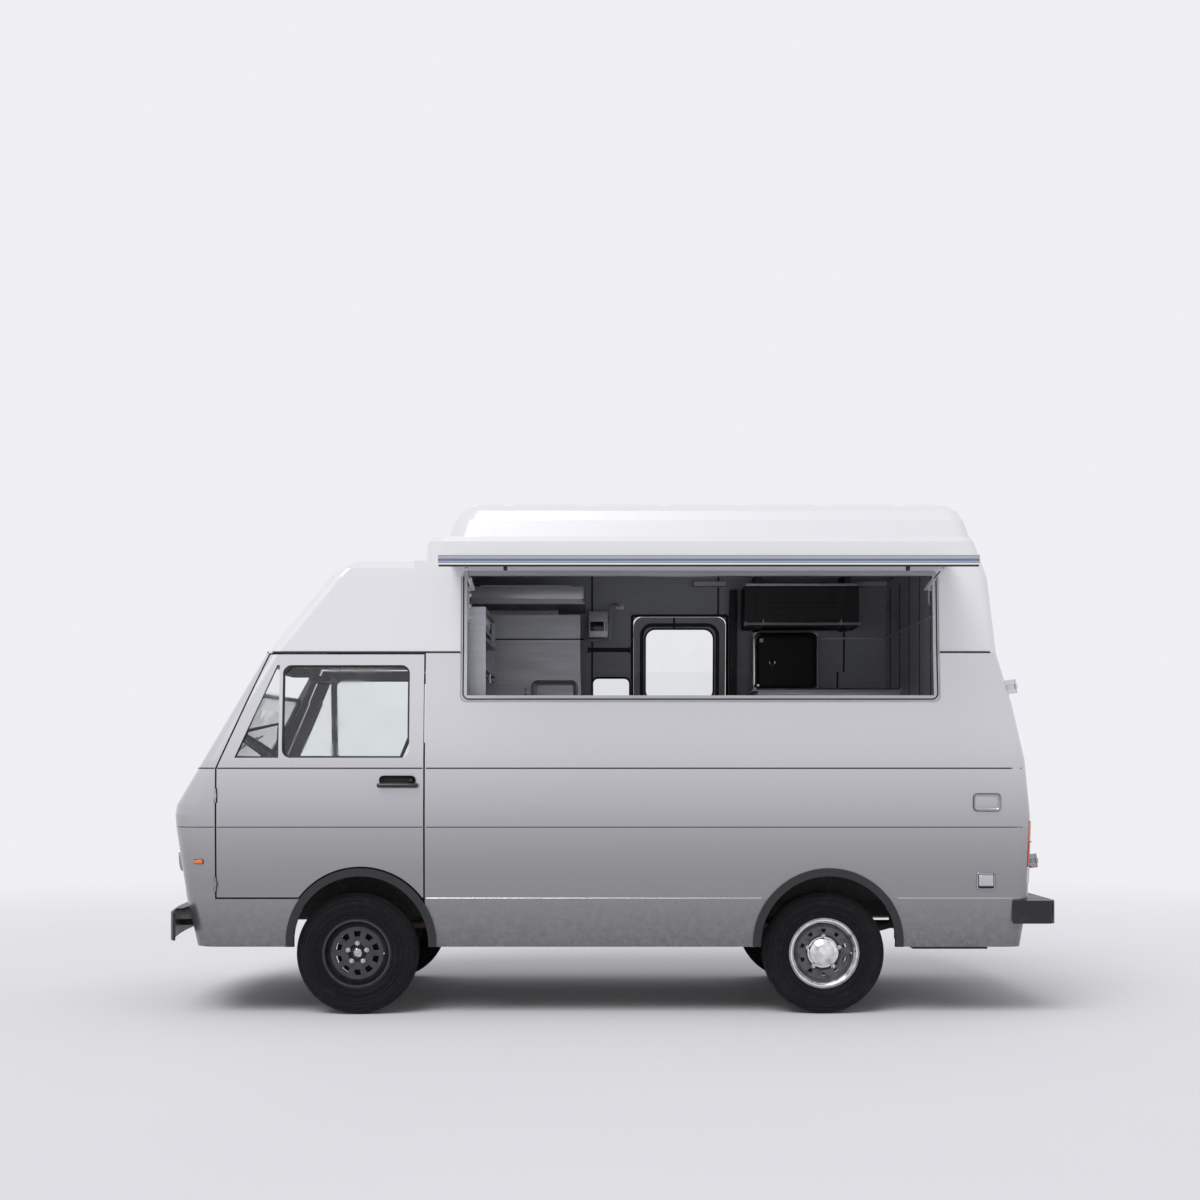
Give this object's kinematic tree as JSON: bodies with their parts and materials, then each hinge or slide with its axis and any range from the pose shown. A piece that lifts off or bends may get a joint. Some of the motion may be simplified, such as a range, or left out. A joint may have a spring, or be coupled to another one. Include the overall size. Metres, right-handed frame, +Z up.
{
  "type": "high-roof vending truck with a serving hatch",
  "caption": "High-roof panel van fitted as a street vending truck, with a raised serving flap on struts, hinged doors and steered, rolling wheels.",
  "frame": {"origin": "on the ground, on the centre plane, halfway between the axles", "axes": "+X towards the tail, +Y towards the side without the hatch, +Z up"},
  "size_m": [4.7838, 2.7739, 2.757],
  "materials": {
    "body_paint": "satin",
    "black_trim": "satin",
    "black_metal": "satin",
    "glass": "clear",
    "lamp_lens": "clear",
    "tail_lens": "gloss",
    "front_rim": "satin",
    "rear_rim": "polished",
    "tyre_rubber": "matte",
    "underbody": "matte",
    "engine_iron": "rough",
    "board": "matte",
    "steel_front": "brushed steel facing",
    "rack_steel": "brushed",
    "trim_cloth": "woven",
    "dash_plastic": "grained",
    "strut_metal": "satin",
    "lamp_white": "matte",
    "bright_steel": "polished"
  },
  "bodies": {
    "vehicle_body": {"arch_lips": "black_trim", "body_glass": "glass", "cab_chairs": "trim_cloth", "dashboard": "dash_plastic", "engine_block": "engine_iron", "engine_cover": "dash_plastic", "exhaust": "underbody", "far_counter": "steel_front", "floor_pan": "underbody", "front_bumper": "black_metal", "front_lamps": "lamp_lens", "front_panel": "body_paint", "front_suspension": "underbody", "fuel_tank": "black_trim", "grille": "black_trim", "hatch_frame": "rack_steel", "high_unit": "dash_plastic", "partitions": "board", "rear_axle": "underbody", "rear_bumper": "black_metal", "rear_lamps": "tail_lens", "rear_valance": "body_paint", "roof_cap": "body_paint", "roof_moulding": "body_paint", "side_panel_left": "body_paint", "side_panel_right": "body_paint", "spare_carrier": "underbody", "tall_cabinet": "steel_front", "wall_lamps": "lamp_white", "wall_rack": "rack_steel", "wheel_boxes": "underbody"},
    "cab_door_left": {"cab_door_left": "body_paint", "cab_glass_left": "glass"},
    "cab_door_right": {"cab_door_right": "body_paint", "cab_glass_right": "glass"},
    "rear_door_left": {"rear_door_left": "body_paint"},
    "rear_door_right": {"rear_door_right": "body_paint"},
    "entrance_door": {"side_door": "body_paint", "side_door_glass": "glass"},
    "service_flap": {"service_flap": "body_paint"},
    "serving_flap": {"serving_flap": "body_paint"},
    "strut_cylinder_front": {"strut_cylinder_front": "strut_metal"},
    "strut_cylinder_rear": {"strut_cylinder_rear": "strut_metal"},
    "strut_rod_front": {"strut_rod_front": "bright_steel"},
    "strut_rod_rear": {"strut_rod_rear": "bright_steel"},
    "knuckle_left": {"knuckle_left": "underbody"},
    "knuckle_right": {"knuckle_right": "underbody"},
    "wheel_front_left": {"tyre_front_left": "tyre_rubber", "rim_front_left": "front_rim"},
    "wheel_front_right": {"tyre_front_right": "tyre_rubber", "rim_front_right": "front_rim"},
    "wheel_rear_left": {"tyre_rear_left": "tyre_rubber", "rim_rear_left": "rear_rim"},
    "wheel_rear_right": {"tyre_rear_right": "tyre_rubber", "rim_rear_right": "rear_rim"}
  },
  "joints": [
    {"name": "steer_left", "type": "hinge", "parent": "vehicle_body", "child": "knuckle_left", "pos_m": [-1.25, -0.772, 0.325], "axis": [0, 0, 1], "range_deg": [-33, 33]},
    {"name": "spin_front_left", "type": "hinge", "parent": "knuckle_left", "child": "wheel_front_left", "pos_m": [-1.25, -0.85, 0.325], "axis": [0, 1, 0], "continuous": true},
    {"name": "spin_rear_left", "type": "hinge", "parent": "vehicle_body", "child": "wheel_rear_left", "pos_m": [1.25, -0.825, 0.325], "axis": [0, 1, 0], "continuous": true},
    {"name": "cab_door_left_hinge", "type": "hinge", "parent": "vehicle_body", "child": "cab_door_left", "pos_m": [-1.985, -1.012, 1.003], "axis": [0, 0, -1], "range_deg": [0, 70]},
    {"name": "rear_door_left_hinge", "type": "hinge", "parent": "vehicle_body", "child": "rear_door_left", "pos_m": [2.39017, -0.8845, 0.821], "axis": [0.1176, 0, -0.9931], "range_deg": [0, 170]},
    {"name": "steer_right", "type": "hinge", "parent": "vehicle_body", "child": "knuckle_right", "pos_m": [-1.25, 0.772, 0.325], "axis": [0, 0, 1], "range_deg": [-33, 33]},
    {"name": "spin_front_right", "type": "hinge", "parent": "knuckle_right", "child": "wheel_front_right", "pos_m": [-1.25, 0.85, 0.325], "axis": [0, 1, 0], "continuous": true},
    {"name": "spin_rear_right", "type": "hinge", "parent": "vehicle_body", "child": "wheel_rear_right", "pos_m": [1.25, 0.825, 0.325], "axis": [0, 1, 0], "continuous": true},
    {"name": "cab_door_right_hinge", "type": "hinge", "parent": "vehicle_body", "child": "cab_door_right", "pos_m": [-1.985, 1.012, 1.003], "axis": [0, 0, 1], "range_deg": [0, 70]},
    {"name": "rear_door_right_hinge", "type": "hinge", "parent": "vehicle_body", "child": "rear_door_right", "pos_m": [2.39017, 0.8845, 0.821], "axis": [-0.1176, 0, 0.9931], "range_deg": [0, 170]},
    {"name": "entrance_door_hinge", "type": "hinge", "parent": "vehicle_body", "child": "entrance_door", "pos_m": [0.26, 1.0484, 0.754], "axis": [0, -0.055, 0.9985], "range_deg": [0, 95]},
    {"name": "service_flap_hinge", "type": "hinge", "parent": "vehicle_body", "child": "service_flap", "pos_m": [-2.16428, 0, 1.343], "axis": [0, 1, 0], "range_deg": [0, 55]},
    {"name": "serving_flap_hinge", "type": "hinge", "parent": "vehicle_body", "child": "serving_flap", "pos_m": [0, -0.92092, 2.408], "axis": [1, 0, 0], "range_deg": [0, 78.09]},
    {"name": "strut_turn_front", "type": "hinge", "parent": "vehicle_body", "child": "strut_cylinder_front", "pos_m": [-0.632, -0.87892, 2.278], "axis": [1, 0, 0], "range_deg": [0, 86.84]},
    {"name": "strut_slide_front", "type": "slide", "parent": "strut_cylinder_front", "child": "strut_rod_front", "axis": [0, -0.9928, 0.1197], "range_m": [-0.16426, 0]},
    {"name": "strut_turn_rear", "type": "hinge", "parent": "vehicle_body", "child": "strut_cylinder_rear", "pos_m": [1.799, -0.87892, 2.278], "axis": [1, 0, 0], "range_deg": [0, 86.84]},
    {"name": "strut_slide_rear", "type": "slide", "parent": "strut_cylinder_rear", "child": "strut_rod_rear", "axis": [0, -0.9928, 0.1197], "range_m": [-0.16426, 0]}
  ],
  "couplings": [
    {"joint": "steer_right", "follows": "steer_left", "ratio": 1},
    {"joint": "strut_turn_front", "follows": "serving_flap_hinge", "ratio": 1.1057},
    {"joint": "strut_slide_front", "follows": "serving_flap_hinge", "m_per_rad": -0.12015},
    {"joint": "strut_turn_rear", "follows": "serving_flap_hinge", "ratio": 1.1057},
    {"joint": "strut_slide_rear", "follows": "serving_flap_hinge", "m_per_rad": -0.12015}
  ]
}
